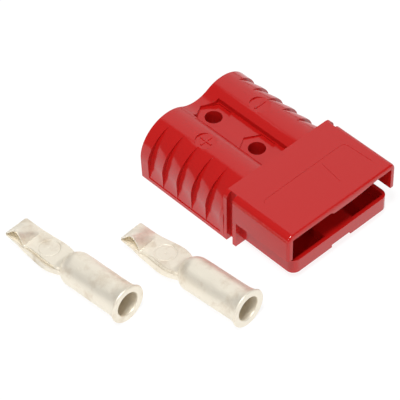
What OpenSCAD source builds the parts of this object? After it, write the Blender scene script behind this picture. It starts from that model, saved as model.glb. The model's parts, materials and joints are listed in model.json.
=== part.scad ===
// Two-pole genderless power connector: one moulded housing, two leaf springs and two crimp contacts.
// Millimetres, +Z up. The base lies on z = 0 and the mating face points to -Y.
// The origin is on the base plane, midway between the two mounting holes.

/* [Housing] */
// Width over the hood
housing_w = 44; // [43:0.5:46]
// Height from the base to the top of the hood
housing_h = 19.1; // [18.6:0.1:20.5]
// From the origin forward to the mating face
front_reach = 44.1; // [42:0.1:48]
// From the origin back to the wire end
rear_reach = 17.4; // [16:0.1:22]
// Radius of the hood's long top edges
hood_edge_r = 2.4; // [1:0.1:3]
// Thickness of the hood's side walls
hood_wall = 1.8; // [1.4:0.1:2.2]
// Thickness of the hood's top plate
hood_plate = 1.75; // [1.4:0.05:2]
// Clearance between the hood's side walls and the mating hood's, on this side of half height
hood_clear = 0.1; // [0:0.05:0.3]
// From the mating face back to the shoulder that stops the mating hood
mating_depth = 21.2; // [19:0.1:22]
// Width of the key rib under the hood
key_w = 7.2; // [5:0.1:7.6]
// Depth of the key rib under the hood
key_h = 0.9; // [0.5:0.1:1]

/* [Tray] */
// Height of the tray's underside, which clears the mating hood's plate
tray_z = 2.5; // [2.3:0.1:3]
// Height of the tray's rim
tray_top = 7.5; // [6.5:0.1:8]
// Gap between the tray's side and the hood's side wall
tray_gap = 0.45; // [0.3:0.05:0.7]
// Thickness of the tray's rim walls
tray_wall = 1.25; // [1:0.05:1.6]
// Thickness of the tray's floor
tray_floor = 1.4; // [1.2:0.1:1.6]
// Radius of the tray's front corners, seen from above
tray_corner_r = 2.6; // [1.5:0.1:4]
// Width of the block between the two contact channels
block_w = 11.2; // [10.6:0.1:11.4]
// Width of the key slot under the tray
slot_w = 7.8; // [7.6:0.1:8.5]
// Depth of the key slot under the tray
slot_h = 1; // [0.8:0.1:1.1]

/* [Shoulder] */
// Thickness of the shoulder plate at the back of the hood
shoulder_t = 1.4; // [1:0.1:1.8]
// Width of the groove behind the shoulder plate
groove_w = 2.4; // [1.8:0.1:2.8]
// Depth of that groove
groove_d = 1.9; // [1:0.1:2.2]
// Thickness of the rib behind the groove
rib_t = 1.3; // [1:0.1:1.8]

/* [Barrels] */
// Outer radius of the two wire barrels
barrel_r = 11.2; // [10.9:0.1:11.6]
// Distance of each barrel's axis from the middle
barrel_x = 11.07; // [11:0.01:11.3]
// How far the flanks draw in towards the base
flank_draft = 0.3; // [0.2:0.1:1]
// Height of the web between the barrels at the wire end
web_z = 16.1; // [15.9:0.1:16.6]
// Radius of the wire bores
wire_bore_r = 6.7; // [6.5:0.1:6.8]
// Height of the wire bores' axes
wire_bore_z = 8.7; // [8.6:0.1:9]
// Thickness of the wall between the mating side and the wire bores
bulkhead_t = 7.4; // [6.5:0.1:8]
// From the top of the wire bores down to the top of the contact windows
window_drop = 2.2; // [1.5:0.1:3]

/* [Grip] */
// Number of grip steps on each flank
grip_steps = 5; // [3:1:5]
// Distance from one step to the next
grip_pitch = 6.13; // [5:0.01:6.2]
// Depth of a step at the flank
grip_depth = 1.7; // [0.8:0.1:1.8]
// Depth that is left where a step runs out at the next one
grip_runout = 0.15; // [0.1:0.05:0.3]
// Extra height that makes a step fade out towards the crest
grip_fade = 0.9; // [0.6:0.1:1.2]
// From the wire end forward to the first step
grip_margin = 3.1; // [2.4:0.1:3.5]
// How far a step leans forward from the barrel's axis up to its crest
grip_lean = 1.2; // [0:0.1:1.3]
// Height of the plain skirt under the steps
grip_skirt = 1.3; // [0.8:0.1:2]

/* [Mounting] */
// Distance between the two mounting holes
hole_pitch = 18.4; // [18:0.1:18.6]
// Diameter of the mounting holes
hole_d = 5.4; // [4.5:0.1:5.5]
// Width of the pocket between the barrels
pocket_w = 10.4; // [10.2:0.1:10.6]
// Depth of the pocket below the hood's top
pocket_d = 3.35; // [3.2:0.05:3.5]
// From the rear mounting hole back to the end of the pocket
pocket_reach = 3.3; // [3.1:0.1:4.4]
// Width across flats of the nut recesses
nut_flats = 9.7; // [9:0.1:10]
// Depth of the nut recesses below the pocket's floor
nut_d = 0.5; // [0.3:0.1:1]

/* [Marks] */
// Diameter of the round polarity marks on the barrels
mark_d = 6.6; // [5:0.1:7]
// Depth of the polarity marks below the crest
mark_depth = 0.45; // [0.3:0.05:0.6]
// From the origin back to the polarity marks
mark_y = 0.8; // [-4:0.1:8]

/* [Contacts] */
// Outer diameter of the crimp barrel
crimp_d = 10.7; // [10.3:0.1:11]
// Outer diameter of the flared mouth
mouth_d = 12.3; // [11.8:0.1:12.6]
// Bore of the crimp barrel
crimp_bore_d = 7.7; // [7:0.1:8.2]
// Depth of the crimp bore
crimp_bore_l = 19; // [15:0.5:19.5]
// Length of the drill point at the end of the crimp bore
crimp_point_l = 2.5; // [1.5:0.1:2.8]
// Length of the crimp barrel with its rounded shoulder
crimp_l = 25; // [24:0.5:27]
// Overall length of a contact
contact_l = 46.4; // [46:0.1:50]
// Length of the flared mouth
flare_l = 4; // [3:0.1:5]
// Length of the rounded shoulder in front of the barrel
neck_l = 4.6; // [4:0.1:5]
// Thickness of the two flattened plies
blade_t = 3; // [2.6:0.1:3.2]
// Height of the blade's top above the barrel's axis
blade_rise = 0.9; // [0.5:0.1:1.2]
// Widest part of the blade
blade_w = 10.6; // [10.2:0.1:11]
// Width of the blade's nose
nose_w = 8.6; // [8:0.1:9.4]
// Length of the nose in front of the latch step
nose_l = 7; // [6:0.1:8]
// Height of the latch fold above the blade
nose_h = 4; // [2:0.1:4.4]
// Thickness of the nose at its tip
tip_t = 0.9; // [0.6:0.1:1.4]
// How far the fold's highest place is moved towards the step: 1 leaves it midway
fold_skew = 0.55; // [0.5:0.05:1]

/* [Contact places] */
// First contact's mouth, across
plus_x = -39.9; // [-50:0.1:-38]
// First contact's mouth, along
plus_y = -46.6; // [-52:0.1:-40]
// First contact's turn about the vertical
plus_turn = 3.6; // [0:0.1:6]
// Second contact's mouth, across
minus_x = -63; // [-72:0.1:-60]
// Second contact's mouth, along
minus_y = -21.9; // [-30:0.1:-15]
// Second contact's turn about the vertical
minus_turn = 2.9; // [0:0.1:6]

/* [Springs] */
// Width of the leaf springs
spring_w = 8; // [6:0.1:9]
// Thickness of the leaf springs
spring_t = 0.6; // [0.4:0.1:0.8]
// Height of a spring's crown above the tray's floor
spring_rise = 1.8; // [1.4:0.1:2.4]
// Length of a spring's bow
spring_bow_l = 11; // [9:0.1:12]
// Length of a spring's foot
spring_foot_l = 4; // [3:0.1:5]

/* [Hidden] */
$fn = 96;
eps = 0.01;
over = 1;

half_w = housing_w / 2;
face_y = -front_reach;
shoulder_y = face_y + mating_depth;
rib_y = shoulder_y + shoulder_t + groove_w;
hood_rear_y = rib_y + rib_t;
hood_side_z = housing_h / 2 + hood_clear;

tray_half = half_w - hood_wall - tray_gap;
channel_in = block_w / 2;
channel_out = tray_half - tray_wall;
channel_w = channel_out - channel_in;
floor_z = tray_z + tray_floor;

barrel_z = housing_h - barrel_r;
flank_half = barrel_x + barrel_r;
valley_rise = web_z - barrel_z;
valley_r = (barrel_x * barrel_x + valley_rise * valley_rise - barrel_r * barrel_r)
    / (2 * (barrel_r - valley_rise));
valley_half = barrel_x * valley_r / (barrel_r + valley_r);
valley_top = web_z + valley_r - valley_r * (valley_r + valley_rise) / (barrel_r + valley_r);

bore_front_y = shoulder_y + bulkhead_t;
pocket_z = housing_h - pocket_d;
pocket_end_y = hole_pitch / 2 + pocket_reach;
window_w = min(2 * wire_bore_r - over, channel_w);
window_top = wire_bore_z + wire_bore_r - window_drop;

crimp_r = crimp_d / 2;
mouth_r = mouth_d / 2;
flare_r = (flare_l * flare_l + pow(mouth_r - crimp_r, 2)) / (2 * (mouth_r - crimp_r));
blade_y = crimp_l - neck_l;
crease_y = contact_l - nose_l;
// A contact lies on its mouth's rim and on the front end of its barrel
rest_tilt = atan((mouth_r - crimp_r) / blade_y);

grip_turn = atan((grip_depth - grip_runout) / grip_pitch);
grip_first_y = rear_reach - grip_margin;

module along_y(y0, y1) {
    translate([0, y1, 0]) rotate([90, 0, 0]) linear_extrude(y1 - y0) children();
}

module both_sides() {
    for (side = [0, 1]) mirror([side, 0, 0]) children();
}

// Section of the two joined barrels: round tops, drawn-in flanks and a hollow web between them
module barrel_section() {
    difference() {
        union() {
            for (side = [-1, 1]) translate([side * barrel_x, barrel_z]) circle(barrel_r);
            polygon([
                [-flank_half + flank_draft, 0], [flank_half - flank_draft, 0],
                [flank_half, barrel_z], [-flank_half, barrel_z]
            ]);
            translate([-valley_half, 0]) square([2 * valley_half, valley_top]);
        }
        translate([0, web_z + valley_r]) circle(valley_r);
        translate([-flank_half - over, -barrel_r - over]) square([2 * flank_half + 2 * over, barrel_r + over]);
    }
}

// Outline of the hood, with its two long top edges rounded
module hood_outline(bottom) {
    translate([-half_w, bottom]) square([housing_w, housing_h - hood_edge_r - bottom]);
    for (side = [-1, 1])
        translate([side * (half_w - hood_edge_r), housing_h - hood_edge_r]) circle(hood_edge_r);
    translate([-half_w + hood_edge_r, bottom])
        square([housing_w - 2 * hood_edge_r, housing_h - bottom]);
}

// What one grip step takes off a flank: it is deepest at the step and runs out at the next one
module grip_cut(step_y) {
    fade_r = barrel_r + grip_fade;
    centre_x = flank_half - grip_depth - fade_r / cos(grip_turn);
    difference() {
        translate([barrel_x - over, step_y, 0]) rotate([90, 0, 90]) linear_extrude(barrel_r + 2 * over)
            polygon([
                [0, grip_skirt], [0, barrel_z], [-grip_lean, housing_h],
                [-grip_lean - grip_pitch, housing_h], [-grip_pitch, barrel_z], [-grip_pitch, grip_skirt]
            ]);
        translate([centre_x, step_y, barrel_z]) rotate([0, 0, grip_turn])
            along_y(-2 * grip_pitch, grip_pitch) {
                circle(fade_r);
                polygon([
                    [-fade_r, -barrel_z - over], [fade_r - flank_draft, -barrel_z],
                    [fade_r, 0], [-fade_r, 0]
                ]);
            }
    }
}

module hood() {
    difference() {
        along_y(face_y, shoulder_y + eps) hood_outline(hood_side_z);
        translate([-half_w + hood_wall, face_y - over, -over])
            cube([housing_w - 2 * hood_wall, mating_depth + 2 * over, housing_h - hood_plate + over]);
    }
    translate([-key_w / 2, face_y, housing_h - hood_plate - key_h])
        cube([key_w, mating_depth + eps, key_h + eps]);
}

// Lower tongue that carries the springs and contacts
module tray() {
    difference() {
        union() {
            translate([-tray_half, face_y + tray_corner_r, tray_z])
                cube([2 * tray_half, mating_depth - tray_corner_r + eps, tray_top - tray_z]);
            translate([-tray_half + tray_corner_r, face_y, tray_z])
                cube([2 * (tray_half - tray_corner_r), mating_depth, tray_top - tray_z]);
            for (side = [-1, 1])
                translate([side * (tray_half - tray_corner_r), face_y + tray_corner_r, tray_z])
                    cylinder(r = tray_corner_r, h = tray_top - tray_z);
        }
        both_sides()
            translate([channel_in, face_y + tray_wall, floor_z])
                cube([channel_w, mating_depth + over, tray_top]);
        translate([-slot_w / 2, face_y - over, tray_z - over])
            cube([slot_w, mating_depth + over, slot_h + over]);
    }
}

// Block with the barrels, the shoulder plate and the side grooves
module rear_body() {
    difference() {
        union() {
            along_y(hood_rear_y - eps, rear_reach) barrel_section();
            along_y(shoulder_y, hood_rear_y) hood_outline(0);
        }
        both_sides() {
            translate([half_w - groove_d, shoulder_y + shoulder_t, -over])
                cube([groove_d + over, groove_w, housing_h + 2 * over]);
            for (step = [0 : grip_steps - 1]) grip_cut(grip_first_y - step * grip_pitch);
        }
    }
}

// Round flat that carries a polarity sign on a barrel's crest
module mark_recess() {
    translate([barrel_x, mark_y, housing_h - mark_depth]) cylinder(d = mark_d, h = mark_depth + over);
}

module housing() {
    color("firebrick")
    difference() {
        union() {
            hood();
            tray();
            rear_body();
        }
        both_sides() {
            translate([barrel_x, bore_front_y, wire_bore_z]) rotate([-90, 0, 0])
                cylinder(r = wire_bore_r, h = rear_reach - bore_front_y + over);
            translate([channel_in, shoulder_y - over, floor_z])
                cube([window_w, bulkhead_t + 2 * over, window_top - floor_z]);
            mark_recess();
        }
        translate([-pocket_w / 2, hood_rear_y, pocket_z])
            cube([pocket_w, pocket_end_y - hood_rear_y, pocket_d + over]);
        for (side = [-1, 1]) translate([0, side * hole_pitch / 2, 0]) {
            translate([0, 0, -over]) cylinder(d = hole_d, h = housing_h);
            translate([0, 0, pocket_z - nut_d]) rotate([0, 0, 90])
                cylinder(d = nut_flats / cos(30), h = nut_d + over, $fn = 6);
        }
    }
}

module leaf_spring() {
    bow_r = (spring_bow_l * spring_bow_l / 4 + spring_rise * spring_rise) / (2 * spring_rise);
    bow_y = shoulder_y - spring_bow_l / 2;
    color("lightgray")
    translate([-spring_w / 2, 0, 0]) rotate([90, 0, 90]) linear_extrude(spring_w) {
        intersection() {
            translate([bow_y, floor_z + spring_rise - bow_r]) difference() {
                circle(bow_r, $fn = 360);
                circle(bow_r - spring_t, $fn = 360);
            }
            translate([bow_y - spring_bow_l / 2 - over, floor_z])
                square([spring_bow_l + over + spring_t, spring_rise + over]);
        }
        translate([shoulder_y - 2 * spring_t, floor_z]) square([spring_foot_l + 2 * spring_t, spring_t]);
    }
}

module leaf_spring_plus() {
    translate([-barrel_x, 0, 0]) leaf_spring();
}

module leaf_spring_minus() {
    translate([barrel_x, 0, 0]) leaf_spring();
}

// Round barrel: flared mouth, straight tube and a shoulder that rounds in to the blade
module crimp_barrel() {
    rotate([-90, 0, 0]) rotate_extrude() {
        difference() {
            square([mouth_r, flare_l]);
            translate([crimp_r + flare_r, flare_l]) circle(flare_r);
        }
        translate([0, flare_l]) square([crimp_r, blade_y - flare_l]);
        translate([crimp_r - neck_l, blade_y]) intersection() {
            circle(neck_l);
            square(neck_l);
        }
        translate([0, blade_y]) square([crimp_r - neck_l + eps, neck_l]);
    }
}

// Blade seen from above: a belly that draws in to the neck and to the straight nose
module blade_outline() {
    belly_y = (crimp_l + crease_y) / 2;
    belly_half = crease_y - belly_y;
    drop = (blade_w - nose_w) / 2;
    belly_r = (belly_half * belly_half + drop * drop) / (2 * drop);
    intersection() {
        translate([-blade_w / 2, blade_y]) square([blade_w, crease_y + eps - blade_y]);
        translate([blade_w / 2 - belly_r, belly_y]) circle(belly_r);
        translate([belly_r - blade_w / 2, belly_y]) circle(belly_r);
    }
    translate([-nose_w / 2, crease_y]) square([nose_w, nose_l]);
}

// Height of the latch fold at a share t of the way from the step to the tip
function fold_height(t) = nose_h * sin(180 * pow(t, fold_skew));

// The upper ply's fold, which stands up from its free edge and dies out at the closed edge
module latch_fold() {
    steps = 20;
    intersection() {
        rotate([90, 0, 90]) translate([0, 0, -nose_w / 2]) linear_extrude(nose_w)
            polygon([
                for (i = [0 : steps]) [crease_y + nose_l * i / steps, fold_height(i / steps)],
                [contact_l, -tip_t / 2], [crease_y, -tip_t / 2]
            ]);
        along_y(crease_y, contact_l)
            polygon([
                [-nose_w / 2, -tip_t / 2], [nose_w / 2, -tip_t / 2],
                [nose_w / 2, 0], [-nose_w / 2, nose_h + eps]
            ]);
    }
}

// Contact in its own frame: the mouth's centre is the origin and the nose points to +Y
module contact() {
    difference() {
        union() {
            crimp_barrel();
            translate([0, 0, blade_rise - blade_t]) linear_extrude(blade_t) blade_outline();
            translate([0, 0, blade_rise]) latch_fold();
        }
        rotate([-90, 0, 0]) {
            translate([0, 0, -over]) cylinder(d = crimp_bore_d, h = crimp_bore_l + over);
            translate([0, 0, crimp_bore_l - eps]) cylinder(d1 = crimp_bore_d, d2 = 0, h = crimp_point_l);
        }
        // The lower ply thins towards the tip
        rotate([90, 0, 90]) translate([0, 0, -blade_w]) linear_extrude(2 * blade_w)
            polygon([
                [crease_y, blade_rise - blade_t], [contact_l, blade_rise - tip_t],
                [contact_l + over, blade_rise - tip_t], [contact_l + over, blade_rise - blade_t - over],
                [crease_y, blade_rise - blade_t - over]
            ]);
    }
}

module placed_contact(x, y, turn) {
    color("linen")
    translate([x, y, mouth_r * cos(rest_tilt)]) rotate([0, 0, turn]) rotate([-rest_tilt, 0, 0]) contact();
}

module contact_plus() {
    placed_contact(plus_x, plus_y, plus_turn);
}

module contact_minus() {
    placed_contact(minus_x, minus_y, minus_turn);
}

housing();
leaf_spring_plus();
leaf_spring_minus();
contact_plus();
contact_minus();
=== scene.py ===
"""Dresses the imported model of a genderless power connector: housing, leaf springs and crimp contacts."""
import json
import math

import bmesh
import bpy
import numpy as np
from mathutils import Matrix, Vector


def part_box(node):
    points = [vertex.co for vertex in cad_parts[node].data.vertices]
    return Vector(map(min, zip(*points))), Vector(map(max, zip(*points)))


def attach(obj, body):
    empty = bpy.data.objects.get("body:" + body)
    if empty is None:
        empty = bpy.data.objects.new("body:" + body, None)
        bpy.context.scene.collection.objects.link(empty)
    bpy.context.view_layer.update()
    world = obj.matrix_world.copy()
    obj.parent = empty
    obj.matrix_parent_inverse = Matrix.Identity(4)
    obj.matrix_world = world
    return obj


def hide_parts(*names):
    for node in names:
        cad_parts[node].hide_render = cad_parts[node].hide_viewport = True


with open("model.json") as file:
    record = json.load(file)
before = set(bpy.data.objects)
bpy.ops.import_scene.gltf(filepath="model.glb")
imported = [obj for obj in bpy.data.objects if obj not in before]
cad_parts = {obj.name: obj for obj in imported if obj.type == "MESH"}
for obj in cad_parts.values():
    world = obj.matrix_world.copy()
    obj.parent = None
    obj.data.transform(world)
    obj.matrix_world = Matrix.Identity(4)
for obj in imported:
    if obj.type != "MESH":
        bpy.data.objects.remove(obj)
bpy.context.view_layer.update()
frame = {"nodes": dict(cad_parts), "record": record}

bl_info = {
    "name": "Genderless power connector",
    "version": (1, 0, 0),
    "blender": (4, 5, 0),
    "location": "View3D > Sidebar > Connector",
    "description": "Builds the looks of a two-pole genderless power connector around its solid model",
    "category": "Object",
}

MM = 0.001
BODY = "root"
HOUSING_LOW, HOUSING_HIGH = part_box("housing")
MOUNTS = {m["name"]: m for m in frame["record"]["mounts"]}

# a moulded edge that turns by more than this, in degrees, is rounded
MOULDED_EDGE = 28.0
# a contact's edge that turns by more than this, in degrees, stays sharp
CONTACT_EDGE = 40.0

# the faint even light from all round
WORLD_STRENGTH = 0.16
# half the floor's side, in m
FLOOR_HALF = 3.0
# each lamp's name, its place and side in m, and its power in W
LAMPS = (
    # large and high behind the right side: the broad soft light on every upper face
    ("softbox", (0.98, 0.66, 0.86), 1.8, 7.4),
    # smaller, overhead: the soft shadow under the contacts
    ("key", (-0.39, -0.2, 1.22), 0.3, 11.4),
    # low in front: lightens the front faces
    ("fill", (0.25, -1.1, 0.3), 0.8, 1.7),
    # small, from the left: the thin glints on edges that face it
    ("glint", (-0.86, -0.38, 0.50), 0.05, 1.0),
)


# ---------------------------------------------------------------- sizes and colours

class HousingSizes(bpy.types.PropertyGroup):
    """Sizes of what is added to the moulded housing"""
    edge_round: bpy.props.FloatProperty(
        name="Edge rounding", description="Radius of the moulded outer edges, in mm",
        default=0.3, min=0.05, max=0.6)
    skirt: bpy.props.FloatProperty(
        name="Skirt", description="Height of the plain skirt below the grip panels, in mm", default=1.3)
    lean_top: bpy.props.FloatProperty(
        name="Lean top", description="Height from which the grip panels lean outwards, in mm", default=11.5)
    plate_underside: bpy.props.FloatProperty(
        name="Plate underside", description="Height of the hood's ceiling, in mm", default=17.35)
    lip_drop: bpy.props.FloatProperty(
        name="Lip drop", description="Depth of the lip under the hood's front edge, in mm",
        default=0.95, max=1.2)
    front_round: bpy.props.FloatProperty(
        name="Front rounding", description="Radius of the hood's outer front edge, in mm",
        default=0.9, min=0.3, max=1.2)
    panel_line: bpy.props.FloatProperty(
        name="Panel line", description="Width of the raised line round the bare panel, in mm",
        default=0.26, min=0.1)
    panel_height: bpy.props.FloatProperty(
        name="Panel line height", description="Height of the raised line, in mm", default=0.1, min=0.02)
    sign_line: bpy.props.FloatProperty(
        name="Sign line", description="Width of the bars of the polarity signs, in mm",
        default=0.75, min=0.2)
    sign_span: bpy.props.FloatProperty(
        name="Sign span", description="Length of the bars of the polarity signs, in mm",
        default=4.3, min=1.0)


class ContactSizes(bpy.types.PropertyGroup):
    """Sizes of a crimp contact, measured from its mouth towards its nose"""
    mouth_depth: bpy.props.FloatProperty(
        name="Mount depth", description="From the mouth to the crimp bore's stated point, in mm", default=9.5)
    barrel_radius: bpy.props.FloatProperty(
        name="Barrel radius", description="Outer radius of the tube, in mm", default=5.35)
    mouth_radius: bpy.props.FloatProperty(
        name="Mouth radius", description="Outer radius of the flare, in mm", default=6.15)
    bore_radius: bpy.props.FloatProperty(
        name="Bore radius", description="Radius of the crimp bore, in mm", default=3.85)
    bore_length: bpy.props.FloatProperty(
        name="Bore depth", description="Depth of the crimp bore, in mm", default=19.0)
    flare_length: bpy.props.FloatProperty(
        name="Flare length", description="Length of the flared mouth, in mm", default=4.0)
    shoulder_start: bpy.props.FloatProperty(
        name="Shoulder start", description="Where the tube rounds in, in mm", default=20.4)
    barrel_length: bpy.props.FloatProperty(
        name="Barrel length", description="Where the shoulder ends, in mm", default=25.0)
    length: bpy.props.FloatProperty(
        name="Length", description="Overall length, in mm", default=46.4)
    nose_length: bpy.props.FloatProperty(
        name="Nose length", description="Nose in front of the crease, in mm", default=8.0)
    blade_top: bpy.props.FloatProperty(
        name="Blade top", description="Blade's top above the barrel's axis, in mm", default=0.9)
    blade_thickness: bpy.props.FloatProperty(
        name="Blade thickness", description="Both plies together, in mm", default=3.0)
    neck_half: bpy.props.FloatProperty(
        name="Neck", description="Half width of the blade at the neck, in mm", default=3.5)
    belly_half: bpy.props.FloatProperty(
        name="Belly", description="Half width of the blade's belly, in mm", default=5.25)
    ply_inset: bpy.props.FloatProperty(
        name="Ply inset", description="How far the upper ply's open edge stands back, in mm", default=1.2)
    belly_far: bpy.props.FloatProperty(
        name="Slim belly", description="Half width on the second contact's closed side, in mm", default=4.7)
    seam_closed: bpy.props.FloatProperty(
        name="Closed seam", description="Seam of the first contact, in mm", default=0.15)
    seam_open: bpy.props.FloatProperty(
        name="Open seam", description="Seam of the second contact, in mm", default=1.1)
    nose_half: bpy.props.FloatProperty(
        name="Nose", description="Half width of the blade's nose, in mm", default=4.3)
    fold_height: bpy.props.FloatProperty(
        name="Latch fold", description="Height of the fold at its free edge, in mm", default=4.0)
    tip_thickness: bpy.props.FloatProperty(
        name="Tip", description="Thickness of the nose at its tip, in mm", default=0.9)


class Finishes(bpy.types.PropertyGroup):
    """Colours of the finishes"""
    plastic: bpy.props.StringProperty(
        name="Plastic", description="Moulded polycarbonate, sRGB hex", default="C21917")
    silver: bpy.props.StringProperty(
        name="Silver plate", description="Silver plate over copper, sRGB hex", default="FBF3E2")
    tarnish: bpy.props.StringProperty(
        name="Tarnish", description="Where the plate is thin or dull, sRGB hex", default="BFA27C")
    spring: bpy.props.StringProperty(
        name="Spring steel", description="Rolled stainless strip, sRGB hex", default="A9A9AC")
    floor: bpy.props.StringProperty(
        name="Floor", description="Plain backlit floor, sRGB hex", default="FFFFFF")


SETTINGS = {
    "connector_housing": HousingSizes,
    "connector_contact": ContactSizes,
    "connector_finish": Finishes,
}


# ---------------------------------------------------------------- meshes

def mesh_object(name, points, faces, smooth_angle=35.0):
    """A piece from points in metres: doubles merged, normals outwards, edges sharper than the angle sharp"""
    mesh = bpy.data.meshes.new(name)
    mesh.from_pydata(np.asarray(points, float).reshape(-1, 3).tolist(), [], [list(f) for f in faces])
    shape = bmesh.new()
    shape.from_mesh(mesh)
    bmesh.ops.remove_doubles(shape, verts=shape.verts, dist=1e-7)
    bmesh.ops.recalc_face_normals(shape, faces=shape.faces)
    finish_edges(shape, smooth_angle)
    return finished_object(name, mesh, shape)


def finished_object(name, mesh, shape):
    """The object whose mesh takes over the edited shape"""
    shape.to_mesh(mesh)
    shape.free()
    obj = bpy.data.objects.new(name, mesh)
    bpy.context.scene.collection.objects.link(obj)
    return obj


def finish_edges(shape, smooth_angle):
    """Smooth faces, with the edges sharper than the angle marked sharp"""
    limit = math.radians(smooth_angle)
    for face in shape.faces:
        face.smooth = True
    for edge in shape.edges:
        edge.smooth = len(edge.link_faces) == 2 and edge.calc_face_angle(0.0) < limit


def ring_faces(rows, columns):
    """Quads between neighbouring rows of points, where each row is a closed ring"""
    row, column = np.meshgrid(np.arange(rows - 1), np.arange(columns), indexing="ij")
    following = (column + 1) % columns
    quads = np.stack([row * columns + column, row * columns + following,
                      (row + 1) * columns + following, (row + 1) * columns + column], -1)
    return quads.reshape(-1, 4).tolist()


def capped_faces(rows, columns):
    """The quads between closed rows of points, and one face over each end"""
    ends = [list(range(columns)), list(range((rows - 1) * columns, rows * columns))]
    return ring_faces(rows, columns) + ends


def arc(centre, radius, start, end, count):
    """Points on a circle between two angles in degrees"""
    angle = np.radians(np.linspace(start, end, count))
    return np.stack([centre[0] + radius * np.cos(angle), centre[1] + radius * np.sin(angle)], -1)


def ease(value, low, high):
    """Smooth step from 0 to 1 between two places"""
    share = np.clip((value - low) / (high - low), 0, 1)
    return share * share * (3 - 2 * share)


def half_sine(value, low, high):
    """A half sine that rises from 0 at one place and falls to 0 at the other"""
    return np.sin(math.pi * np.clip((value - low) / (high - low), 0, 1))


def span(start, end, count):
    """On each row, points evenly spread from that row's start to its end"""
    return start + (end - start) * np.linspace(0, 1, count)


def bead(name, path, width, height):
    """A low line with a rounded top: a half-ellipse section carried along an open path on a level face"""
    path = np.asarray(path, float)
    along = np.gradient(path, axis=0)
    along /= np.linalg.norm(along, axis=1, keepdims=True)
    across = np.stack([-along[:, 1], along[:, 0], np.zeros(len(path))], -1)
    turn = np.radians(np.linspace(0, 180, 7))
    side = np.concatenate([np.cos(turn) * width / 2, [-width / 2, width / 2]])
    # the section reaches below the face by its own height
    rise = np.concatenate([np.sin(turn) * height, [-height, -height]])
    upwards = np.array([0, 0, 1.0])
    sideways = side[None, :, None] * across[:, None, :]
    points = path[:, None, :] + sideways + rise[None, :, None] * upwards
    return mesh_object(name, points, capped_faces(len(path), len(side)))


# ---------------------------------------------------------------- materials

MATERIALS = {}


def shared(maker):
    """The material that the maker builds, made once"""
    name = maker.__name__
    if name not in MATERIALS:
        MATERIALS[name] = maker()
    return MATERIALS[name]


def use(obj, material):
    """Gives a piece its one material"""
    obj.data.materials.clear()
    obj.data.materials.append(material)


def linear(code):
    """An sRGB hex value as linear red, green, blue and alpha"""
    value = np.array([int(code[i:i + 2], 16) for i in (0, 2, 4)]) / 255
    low = value / 12.92
    high = ((value + 0.055) / 1.055) ** 2.4
    return tuple(np.where(value <= 0.04045, low, high)) + (1.0,)


def add_node(tree, kind, links=None, **settings):
    """One node with its settings, its inputs' values and its links"""
    node = tree.nodes.new(kind)
    for key, value in settings.items():
        if key.startswith("in_"):
            name = key[3:].replace("_", " ")
            node.inputs[name if name in node.inputs else name.title()].default_value = value
        else:
            setattr(node, key, value)
    for target, source in (links or {}).items():
        tree.links.new(source, node.inputs[target])
    return node


def new_material(name):
    """An empty material and its node tree"""
    material = bpy.data.materials.new(name)
    material.use_nodes = True
    material.node_tree.nodes.clear()
    return material, material.node_tree


def finish_material(tree, shader):
    """Leads the shader to the material's surface"""
    add_node(tree, "ShaderNodeOutputMaterial", {"Surface": shader.outputs["BSDF"]})


def polycarbonate():
    """Moulded polycarbonate: deep even red under a clear gloss, faintly wavy where it shrank in the mould"""
    # the mould's texture is finer than this, and is drawn coarse enough to show
    wave_length, texture = 6 * MM, 0.35 * MM
    colour = linear(bpy.context.scene.connector_finish.plastic)
    material, tree = new_material("polycarbonate_red")
    place = add_node(tree, "ShaderNodeTexCoord")
    waves = add_node(tree, "ShaderNodeTexNoise", {"Vector": place.outputs["Object"]},
                     in_Scale=1 / wave_length, in_Detail=1.0)
    grain = add_node(tree, "ShaderNodeTexNoise", {"Vector": place.outputs["Object"]},
                     in_Scale=1 / texture, in_Detail=2.0)
    soft = add_node(tree, "ShaderNodeBump", {"Height": waves.outputs["Fac"]},
                    in_Strength=0.05, in_Distance=0.6 * MM)
    bump = add_node(tree, "ShaderNodeBump",
                    {"Height": grain.outputs["Fac"], "Normal": soft.outputs["Normal"]},
                    in_Strength=0.035, in_Distance=0.05 * MM)
    gloss = add_node(tree, "ShaderNodeMapRange", {"Value": grain.outputs["Fac"]},
                     in_To_Min=0.12, in_To_Max=0.2)
    shader = add_node(tree, "ShaderNodeBsdfPrincipled",
                      {"Normal": bump.outputs["Normal"], "Roughness": gloss.outputs["Result"]},
                      in_Base_Color=colour, in_IOR=1.5)
    finish_material(tree, shader)
    return material


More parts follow.
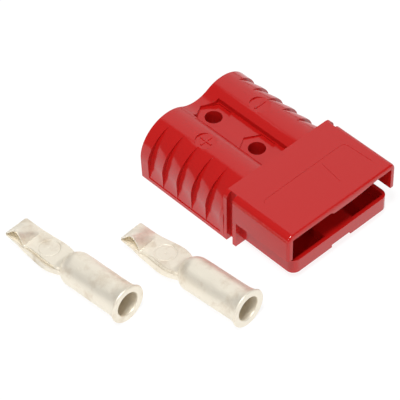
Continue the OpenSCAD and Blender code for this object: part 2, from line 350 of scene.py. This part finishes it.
def silver_plate():
    """Silver-plated copper, tumbled: warm, satin, with dull patches and a fine pitted grain"""
    # the pits are finer than this, and are drawn coarse enough to show
    patch_size, pit_spacing = 5 * MM, 0.45 * MM
    finish = bpy.context.scene.connector_finish
    material, tree = new_material("silver_plated_copper")
    place = add_node(tree, "ShaderNodeTexCoord")
    patches = add_node(tree, "ShaderNodeTexNoise", {"Vector": place.outputs["Object"]},
                       in_Scale=1 / patch_size, in_Detail=5.0, in_Roughness=0.6)
    pits = add_node(tree, "ShaderNodeTexNoise", {"Vector": place.outputs["Object"]},
                    in_Scale=1 / pit_spacing, in_Detail=3.0)
    share = add_node(tree, "ShaderNodeMapRange", {"Value": patches.outputs["Fac"]},
                     in_From_Min=0.5, in_From_Max=0.8, in_To_Max=0.55)
    colour = add_node(tree, "ShaderNodeMix", {"Factor": share.outputs["Result"]}, data_type="RGBA")
    # sockets 6 and 7 of a colour mix are its two colours, and output 2 is its result
    colour.inputs[6].default_value = linear(finish.silver)
    colour.inputs[7].default_value = linear(finish.tarnish)
    dull = add_node(tree, "ShaderNodeMapRange", {"Value": pits.outputs["Fac"]},
                    in_From_Min=0.3, in_From_Max=0.7, in_To_Min=0.4, in_To_Max=0.56)
    bump = add_node(tree, "ShaderNodeBump", {"Height": pits.outputs["Fac"]},
                    in_Strength=0.6, in_Distance=0.09 * MM)
    # the pitted plate scatters nearly half of its light as a matt surface does
    shader = add_node(tree, "ShaderNodeBsdfPrincipled",
                      {"Base Color": colour.outputs[2], "Roughness": dull.outputs["Result"],
                       "Normal": bump.outputs["Normal"]},
                      in_Metallic=0.55)
    finish_material(tree, shader)
    return material


def spring_steel():
    """Rolled stainless strip: neutral, with fine lines along the leaf"""
    # the rolling lines are finer than this, and are drawn coarse enough to show
    line_spacing = 0.25 * MM
    stretch_along = 0.03
    colour = linear(bpy.context.scene.connector_finish.spring)
    material, tree = new_material("stainless_spring_strip")
    place = add_node(tree, "ShaderNodeTexCoord")
    stretch = add_node(tree, "ShaderNodeMapping", {"Vector": place.outputs["Object"]},
                       in_Scale=(1.0, stretch_along, 1.0))
    lines = add_node(tree, "ShaderNodeTexNoise", {"Vector": stretch.outputs["Vector"]},
                     in_Scale=1 / line_spacing)
    dull = add_node(tree, "ShaderNodeMapRange", {"Value": lines.outputs["Fac"]},
                    in_To_Min=0.22, in_To_Max=0.42)
    shader = add_node(tree, "ShaderNodeBsdfPrincipled", {"Roughness": dull.outputs["Result"]},
                      in_Base_Color=colour, in_Metallic=1.0)
    finish_material(tree, shader)
    return material


def backlit_acrylic():
    """White acrylic sheet, lit from below: plain and bright, so that shadows stay faint"""
    colour = linear(bpy.context.scene.connector_finish.floor)
    unlit_grey = (0.15, 0.15, 0.15, 1)
    material, tree = new_material("backlit_acrylic")
    shader = add_node(tree, "ShaderNodeBsdfPrincipled", in_Roughness=0.9, in_Base_Color=unlit_grey,
                      in_Emission_Color=colour, in_Emission_Strength=0.88)
    finish_material(tree, shader)
    return material


# ---------------------------------------------------------------- housing

def moulded_housing():
    """The housing's own solid, its grip panels leaned out to run flush at their feet and its edges rounded"""
    sizes = bpy.context.scene.connector_housing
    merge_within = 2e-6
    flat_within = math.radians(0.6)
    source = frame["nodes"]["housing"].data
    points = np.empty(len(source.vertices) * 3)
    source.vertices.foreach_get("co", points)
    points = points.reshape(-1, 3)
    points[:, 0] = run_out(points / MM, sizes) * MM
    mesh = bpy.data.meshes.new("housing_moulding")
    mesh.from_pydata(points.tolist(), [], [list(p.vertices) for p in source.polygons])
    shape = bmesh.new()
    shape.from_mesh(mesh)
    bmesh.ops.remove_doubles(shape, verts=shape.verts, dist=merge_within)
    bmesh.ops.dissolve_limit(shape, angle_limit=flat_within, verts=shape.verts, edges=shape.edges)
    round_front(shape, sizes.front_round * MM)
    finish_edges(shape, MOULDED_EDGE)
    weigh_edges(shape, MOULDED_EDGE)
    obj = finished_object("housing_moulding", mesh, shape)
    bevel = obj.modifiers.new("edge_round", "BEVEL")
    bevel.width = sizes.edge_round * MM
    bevel.segments = 3
    bevel.limit_method = "WEIGHT"
    bevel.harden_normals = True
    return obj


def run_out(points, sizes):
    """Where each point lies across, once the grip panels lean out to run flush at their feet, all in mm.

    The flank's plain surface is a straight side with a little draft up to the barrel's axis, and a parabola
    above it. A point's depth under that surface shrinks with a power of how far it lies below the top of the
    lean."""
    foot_level, axis_level = 1.3, 7.9
    side_at_foot, side_at_axis, draft = 21.86, 22.12, 0.04
    twice_flank_radius = 27
    least_depth, most_depth = 0.03, 2.0
    # the panels lie behind this place, and their lowest points may lie this little below the skirt's top
    panels_from, slack = -16, 0.05
    # the share of the depth that the lean takes up at the foot
    taken_up, power = 0.94, 1.6
    across, along, level = points.T
    plain = np.where(level < axis_level, side_at_foot + (level - foot_level) * draft,
                     side_at_axis - (level - axis_level) ** 2 / twice_flank_radius)
    below = np.clip((sizes.lean_top - level) / (sizes.lean_top - sizes.skirt), 0, 1)
    depth = plain - np.abs(across)
    sunk = (depth > least_depth) & (depth < most_depth)
    panel = sunk & (along > panels_from) & (level > sizes.skirt - slack)
    leaned = plain - depth * (1 - taken_up * below ** power)
    return np.where(panel, np.sign(across) * leaned, across)


def round_front(shape, radius):
    """Rounds the outer edge of the hood's mouth, along its top and down both sides"""
    low, high = HOUSING_LOW, HOUSING_HIGH
    face_depth, top_band, side_band = 0.02 * MM, 1.2 * MM, 0.65 * MM
    lowest = (low.z + high.z) * 0.45
    # in radians
    least_turn = 1.2

    def outside(vert):
        """Whether a vertex lies on the front face's outline, at its top or at a side"""
        place = vert.co
        outermost = place.z > high.z - top_band or abs(place.x) > high.x - side_band
        return place.y < low.y + face_depth and place.z > lowest and outermost

    edges = [e for e in shape.edges
             if all(outside(v) for v in e.verts) and e.calc_face_angle(0) > least_turn]
    bmesh.ops.bevel(shape, geom=edges, offset=radius, segments=4, profile=0.5, affect="EDGES")


def weigh_edges(shape, smallest):
    """Gives each edge sharper than the angle a bevel weight, save those that stand on the floor"""
    floor_level = 0.05 * MM
    weight = shape.edges.layers.float.new("bevel_weight_edge")
    for edge in shape.edges:
        standing = all(v.co.z < floor_level for v in edge.verts)
        edge[weight] = float(not standing and edge.calc_face_angle(0.0) > math.radians(smallest))


def front_lip(front, sizes):
    """The moulded lip under the hood's front edge.

    It drops by a smooth step, runs level below the key rib and dies out by a power to the other side."""
    start, level_from, level_to, end = -5.0, -3.4, 3.6, 14.0
    next_point, power = 0.4, 1.5
    # from front to back, in front of the hood's face, and up into the hood's plate
    thickness, proud, buried = 1.3 * MM, 0.01 * MM, 0.4
    x = np.concatenate([np.linspace(start, level_from, 8),
                        np.linspace(level_from + next_point, level_to, 6),
                        np.linspace(level_to + next_point, end, 24)])
    dying_out = np.clip((x - level_to) / (end - level_to), 0, 1) ** power
    drop = sizes.lip_drop * ease(x, start, level_from) * (1 - dying_out)
    low = np.column_stack([x, sizes.plate_underside - drop])
    ceiling = sizes.plate_underside + buried
    profile = np.concatenate([low, [(x[-1], ceiling), (x[0], ceiling)]]) * MM
    count = len(profile)
    y = np.array([front - proud, front + thickness])
    points = np.stack([np.tile(profile[:, 0], 2), np.repeat(y, count), np.tile(profile[:, 1], 2)], -1)
    return mesh_object("front_lip", points, capped_faces(2, count))


def panel_path(front, top):
    """The open line round the bare panel: a short hook, the rear side, a round corner and the right side.

    Its places are in mm across from the middle and back from the hood's front."""
    hook_centre, hook_radius = (-15.4, 14.6), 1.2
    corner_centre, corner_radius = (15.4, 14.4), 1.7
    right_end = (17.5, 5.4)
    hook = arc(hook_centre, hook_radius, 160, 90, 5)
    corner = arc(corner_centre, corner_radius, 90, 8, 9)
    path = np.concatenate([hook, corner, [right_end]]) * MM
    return np.column_stack([path[:, 0], path[:, 1] + front, np.full(len(path), top)])


def divider_path(front, top):
    """The straight line across the bare panel, a little aslant, from its rear side forwards"""
    rear, fore = (6.3 * MM, 14.4 * MM), (5.0 * MM, 6.0 * MM)
    return [(rear[0], front + rear[1], top), (fore[0], front + fore[1], top)]


def polarity_signs(sizes, top):
    """The + and - bars that stand in the round flats on the barrels' crests"""
    side = abs(MOUNTS["wire_bore_plus"]["pos_m"][0])
    # how far behind the middle the flats lie, how deep they are, and how much of that the bars fill
    flat_place, flat_depth, filled = 0.8 * MM, 0.45 * MM, 0.6
    half = sizes.sign_span / 2 * MM
    floor = top - flat_depth
    paths = {
        "plus_bar_across": [(-side - half, flat_place, floor), (-side + half, flat_place, floor)],
        "plus_bar_along": [(-side, flat_place - half, floor), (-side, flat_place + half, floor)],
        "minus_bar": [(side - half, flat_place, floor), (side + half, flat_place, floor)],
    }
    return [bead(name, path, sizes.sign_line * MM, flat_depth * filled) for name, path in paths.items()]


class BuildHousing(bpy.types.Operator):
    """Makes the moulded housing with its rounded edges, front lip, panel lines and polarity signs"""
    bl_idname = "connector.build_housing"
    bl_label = "Housing"

    def execute(self, context):
        sizes = context.scene.connector_housing
        housing = moulded_housing()
        use(housing, shared(polycarbonate))
        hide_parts("housing")
        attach(housing, BODY)
        top = HOUSING_HIGH.z
        front = HOUSING_LOW.y
        line_size = (sizes.panel_line * MM, sizes.panel_height * MM)
        line = bead("panel_line", panel_path(front, top), *line_size)
        divider = bead("panel_divider", divider_path(front, top), *line_size)
        for piece in (line, divider, front_lip(front, sizes), *polarity_signs(sizes, top)):
            use(piece, shared(polycarbonate))
            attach(piece, BODY)
        return {"FINISHED"}


# ---------------------------------------------------------------- contacts

def wall(radius, start, end, count):
    """Points of a profile along a straight wall at one radius"""
    return np.column_stack([np.full(count, radius), np.linspace(start, end, count)])


def barrel_surface(sizes):
    """A closed profile turned round the axis: coned bore, rounded mouth, hollow flare, tube and shoulder.

    The flare is the arc that leaves the tube straight and reaches the mouth's radius. The shoulder is most of
    a quarter circle."""
    bore, mouth, tube = sizes.bore_radius, sizes.mouth_radius, sizes.barrel_radius
    lip, cone_share, shoulder_sweep, columns = 0.45, 0.6, 82, 112
    step = mouth - tube
    flare_radius = (sizes.flare_length ** 2 + step ** 2) / (2 * step)
    flare_sweep = math.degrees(math.asin((sizes.flare_length - lip) / flare_radius))
    shoulder = sizes.barrel_length - sizes.shoulder_start
    turn = np.radians(np.linspace(0, shoulder_sweep, 16))
    rounding_in = [tube - shoulder * (1 - np.cos(turn)), sizes.shoulder_start + shoulder * np.sin(turn)]
    profile = np.concatenate([
        [(0.0, sizes.bore_length + bore * cone_share),
         (bore * 0.5, sizes.bore_length + bore * (cone_share / 2)),
         (bore, sizes.bore_length)],
        wall(bore, sizes.bore_length - 0.1, 1.0, 24),
        arc((bore + lip, lip), lip, 180, 270, 6),
        arc((mouth - lip, lip), lip, 270, 360, 6),
        arc((tube + flare_radius, sizes.flare_length), flare_radius, 180 + flare_sweep, 180, 12),
        wall(tube, sizes.flare_length + 0.3, sizes.shoulder_start - 0.1, 40),
        np.column_stack(rounding_in),
        [(0.0, sizes.barrel_length)],
    ])
    angle = np.linspace(0, 2 * math.pi, columns, endpoint=False)
    radius, along = profile[:, :1], profile[:, 1:]
    # tumbling leaves the tube a few hundredths out of round
    wobble = 1 + 0.004 * np.sin(3 * angle + 0.35 * along) + 0.002 * np.sin(5 * angle - 0.8 * along)
    points = np.stack([radius * wobble * np.cos(angle), np.broadcast_to(along, (len(profile), columns)),
                       radius * wobble * np.sin(angle)], -1)
    return points.reshape(-1, 3), ring_faces(len(profile), columns)


def blade_half_width(sizes, y, belly):
    """Half the blade's width: a quarter sine out to the belly, a smooth step in to the nose, and a round
    corner at the tip"""
    swell_lead, swell_length, draw_in = 1.6, 6.4, 4.5
    # a hair short of a full quarter, so that the corner ends just before it turns square
    corner, nearly_full = 0.9, 0.999
    crease = sizes.length - sizes.nose_length
    swell = np.sin(np.clip((y - sizes.barrel_length + swell_lead) / swell_length, 0, 1) * math.pi / 2)
    width = sizes.neck_half + (belly - sizes.neck_half) * swell
    width -= (belly - sizes.nose_half) * ease(y, sizes.barrel_length + draw_in, crease + 1)
    into_corner = np.clip((y - sizes.length + corner) / corner, 0, 1)
    return width - corner * (1 - np.sqrt(1 - into_corner ** 2 * nearly_full))


def stamp_depth(x, y, centre):
    """How deep the stamped ring and the dot inside it are: each a bell curve across its own line"""
    ring_radius, ring_depth, ring_width = 3.2, 0.13, 0.16
    dot_depth, dot_width, ahead = 0.16, 0.28, 0.4
    distance = np.hypot(x, y - centre - ahead)
    ring = ring_depth * np.exp(-((distance - ring_radius) / ring_width) ** 2)
    return ring + dot_depth * np.exp(-(distance / dot_width) ** 2)


def blade_surface(sizes, gap, far_half):
    """Two plies, as sections carried along: under the lower ply, into the seam and back, over the upper ply.

    Between the barrel and the crease the seam opens, and the upper ply's open edge stands back, each by a
    power of a half sine. On the nose that edge lifts by a skewed sine, which dies out towards the closed edge,
    and both plies thin by a power to the rounded tip. At the neck both faces swell by a parabola to meet the
    barrel's shoulder. The seam is cut in from the open edge, deepest on the nose. What changes along the
    contact is a column of values, and what changes round a section is a row."""
    crease = sizes.length - sizes.nose_length
    # the rows lie closer together from just behind the crease
    y = np.concatenate([np.linspace(sizes.shoulder_start, crease - 0.6, 120),
                        np.linspace(crease - 0.55, sizes.length, 90)])[:, None]
    near, far = blade_half_width(sizes, y, sizes.belly_half), blade_half_width(sizes, y, far_half)
    between = half_sine(y, sizes.barrel_length, crease)
    nose = np.clip((y - crease) / sizes.nose_length, 0, 1)

    thinning, tip_round, least_tip = 1.8, 0.5, 0.02
    thick = sizes.blade_thickness
    thick = thick - (thick - sizes.tip_thickness) * (1 - (1 - nose) ** thinning)
    into_tip = np.clip((y - sizes.length + tip_round) / tip_round, 0, 1)
    rounded = 0.5 * thick * (1 - np.sqrt(np.clip(1 - into_tip ** 2, least_tip, 1)))
    top = sizes.blade_top - rounded
    bottom = sizes.blade_top - thick + rounded
    body = top - bottom

    fold_skew, fold_power, lift_power = 0.68, 1.5, 1.1
    fold = sizes.fold_height * np.sin(math.pi * nose ** fold_skew) ** fold_power
    opening_power, inset_power = 0.7, 0.6
    opening = gap * between ** opening_power
    inset = sizes.ply_inset * between ** inset_power
    least_seam, above_middle = 0.03, 0.2
    seam = (least_seam + opening) / 2
    middle = (top + bottom) / 2 + above_middle * body
    under, over = middle - seam, middle + seam
    least_depth, deeper_open, deeper_nose = 0.7, 0.9, 4.2
    seam_depth = least_depth + deeper_open * opening / max(gap, 0.1) + deeper_nose * fold / sizes.fold_height
    swell_height, swell_before, swell_after = 1.7, 2.6, 1.8
    neck = ease(y, sizes.barrel_length - swell_before, sizes.barrel_length + swell_after)
    neck_swell = swell_height * (1 - neck)

    def share(x):
        """How far each point lies from the closed edge towards the open one, from 0 to 1"""
        return np.clip((far - x) / (near + far), 0, 1)

    def lift(x):
        """How far the upper ply stands up at each point"""
        return fold * share(x) ** lift_power

    def swell(x):
        """How far each face stands out at the neck"""
        return neck_swell * np.clip(4 * share(x) * (1 - share(x)), 0, 1)

    largest_corner, corner_share = 0.35, 0.2
    corner = np.minimum(largest_corner, body * corner_share)
    quarter = np.radians(np.linspace(0, 90, 6))
    sine, cosine = corner * (1 - np.sin(quarter)), corner * (1 - np.cos(quarter))
    inward = np.linspace(0, 1, 12)
    outward = inward[::-1]
    # how much of the upper ply's inset each lip of the seam follows
    lower_follows, upper_follows = 0.5, 0.6
    mouth = lower_follows * inset - near + corner
    half_turn = np.radians(np.linspace(90, -90, 12))[1:-1]

    underside = span(far - corner, -near + corner, 24)
    lower_outer = -near + sine
    lower_inner = lower_follows * inset - near + cosine
    into_seam = span(mouth, mouth + seam_depth, 12)
    out_of_seam = into_seam[:, ::-1]
    upper_inner = upper_follows * inset - near + sine
    upper_outer = inset - near + cosine
    upper_side = span(inset - near + corner * 1.1, far - corner, 60)
    closed_edge = far - corner + corner * np.cos(half_turn)
    stamp = stamp_depth(upper_side, y, (sizes.barrel_length + crease) / 2)
    section = (
        (underside, bottom - swell(underside)),
        (lower_outer, bottom + cosine),
        (lower_inner, under - sine),
        (into_seam, under + seam * inward),
        (out_of_seam, over - seam * outward + lift(out_of_seam) * (1 - outward ** 3)),
        (upper_inner, over + cosine + lift(upper_inner)),
        (upper_outer, top - sine + lift(upper_outer)),
        (upper_side, top + lift(upper_side) - stamp + swell(upper_side)),
        (closed_edge, (bottom + top) / 2 + body / 2 * np.sin(half_turn)),
    )
    across = np.concatenate([x for x, _ in section], 1)
    height = np.concatenate([z for _, z in section], 1)
    points = np.stack([across, np.broadcast_to(y, across.shape), height], -1)
    return points.reshape(-1, 3), capped_faces(*across.shape)


def contact_place(mount, depth):
    """The matrix that carries a contact from its own frame, mouth at the origin and nose along +Y"""
    out = Vector(mount["axis"]).normalized()
    mouth = Vector(mount["pos_m"]) + out * depth
    along = -out
    across = along.cross(Vector((0, 0, 1))).normalized()
    up = across.cross(along)
    place = Matrix((across, along, up)).transposed().to_4x4()
    place.translation = mouth
    return place


def crimp_contact(context, which, gap, far_half):
    """Makes one silver-plated contact: barrel and two-ply blade, whose seam stands open by the gap"""
    sizes = context.scene.connector_contact
    barrel, barrel_faces = barrel_surface(sizes)
    blade, blade_faces = blade_surface(sizes, gap, far_half)
    shifted = [[i + len(barrel) for i in face] for face in blade_faces]
    points = np.concatenate([barrel, blade]) * MM
    piece = mesh_object(f"crimp_contact_{which}", points, barrel_faces + shifted, CONTACT_EDGE)
    piece.data.transform(contact_place(MOUNTS[f"crimp_bore_{which}"], sizes.mouth_depth * MM))
    use(piece, shared(silver_plate))
    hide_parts(f"contact_{which}")
    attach(piece, BODY)


class BuildContacts(bpy.types.Operator):
    """Makes the two loose crimp contacts"""
    bl_idname = "connector.build_contacts"
    bl_label = "Crimp contacts"

    def execute(self, context):
        sizes = context.scene.connector_contact
        crimp_contact(context, "plus", sizes.seam_closed, sizes.belly_half)
        crimp_contact(context, "minus", sizes.seam_open, sizes.belly_far)
        return {"FINISHED"}


class BuildSprings(bpy.types.Operator):
    """Gives the two leaf springs in the tray their strip steel finish"""
    bl_idname = "connector.build_springs"
    bl_label = "Leaf springs"

    def execute(self, context):
        for which in ("plus", "minus"):
            use(frame["nodes"][f"leaf_spring_{which}"], shared(spring_steel))
        return {"FINISHED"}


# ---------------------------------------------------------------- stage

def area_light(name, place, side, power):
    """A square soft light that faces the origin"""
    data = bpy.data.lights.new(name, "AREA")
    data.size = side
    data.energy = power
    light = bpy.data.objects.new(name, data)
    light.location = place
    light.rotation_euler = (-Vector(place)).to_track_quat("-Z", "Y").to_euler()
    bpy.context.scene.collection.objects.link(light)


def make_camera(scene):
    """A long lens looking down at the connector's left front corner"""
    azimuth, elevation, roll = math.radians(42.821), math.radians(45.998), math.radians(-0.997)
    place = Vector((-332.15, -342.63, 480.85)) * MM
    ahead = Vector((math.sin(azimuth) * math.cos(elevation), math.cos(azimuth) * math.cos(elevation),
                    -math.sin(elevation)))
    right = Vector((math.cos(azimuth), -math.sin(azimuth), 0))
    up = right.cross(ahead)
    turned_right = right * math.cos(roll) + up * math.sin(roll)
    turned_up = up * math.cos(roll) - right * math.sin(roll)
    data = bpy.data.cameras.new("camera")
    data.sensor_width = 36
    data.lens = 202.9446
    data.clip_start = 0.01
    camera = bpy.data.objects.new("camera", data)
    matrix = Matrix((turned_right, turned_up, -ahead)).transposed().to_4x4()
    matrix.translation = place
    camera.matrix_world = matrix
    scene.collection.objects.link(camera)
    scene.camera = camera


class BuildStage(bpy.types.Operator):
    """Makes the floor, the soft lights and the camera"""
    bl_idname = "connector.build_stage"
    bl_label = "Stage"

    def execute(self, context):
        scene = context.scene
        half = FLOOR_HALF
        corners = [(-half, -half, 0), (half, -half, 0), (half, half, 0), (-half, half, 0)]
        floor = mesh_object("floor", corners, [(0, 1, 2, 3)])
        use(floor, shared(backlit_acrylic))
        world = bpy.data.worlds.new("studio")
        world.use_nodes = True
        background = world.node_tree.nodes["Background"]
        background.inputs["Color"].default_value = (1, 1, 1, 1)
        background.inputs["Strength"].default_value = WORLD_STRENGTH
        scene.world = world
        for lamp in LAMPS:
            area_light(*lamp)
        scene.view_settings.view_transform = "Standard"
        make_camera(scene)
        return {"FINISHED"}


# ---------------------------------------------------------------- panel and start

class ConnectorPanel(bpy.types.Panel):
    """Lists the operators that build the connector"""
    bl_idname = "VIEW3D_PT_connector"
    bl_label = "Connector"
    bl_space_type = "VIEW_3D"
    bl_region_type = "UI"
    bl_category = "Connector"

    def draw(self, context):
        for operator in OPERATORS:
            self.layout.operator(operator.bl_idname)


OPERATORS = (BuildHousing, BuildContacts, BuildSprings, BuildStage)
CLASSES = (*SETTINGS.values(), *OPERATORS, ConnectorPanel)


def register():
    """Registers the classes and hangs the settings on the scene"""
    for item in CLASSES:
        bpy.utils.register_class(item)
    for name, group in SETTINGS.items():
        setattr(bpy.types.Scene, name, bpy.props.PointerProperty(type=group))


def unregister():
    """Takes the settings off the scene and unregisters the classes"""
    for name in SETTINGS:
        delattr(bpy.types.Scene, name)
    for item in reversed(CLASSES):
        bpy.utils.unregister_class(item)


def main():
    """Builds the connector and its stage"""
    register()
    bpy.ops.connector.build_housing()
    bpy.ops.connector.build_contacts()
    bpy.ops.connector.build_springs()
    bpy.ops.connector.build_stage()


if __name__ == "__main__":
    main()
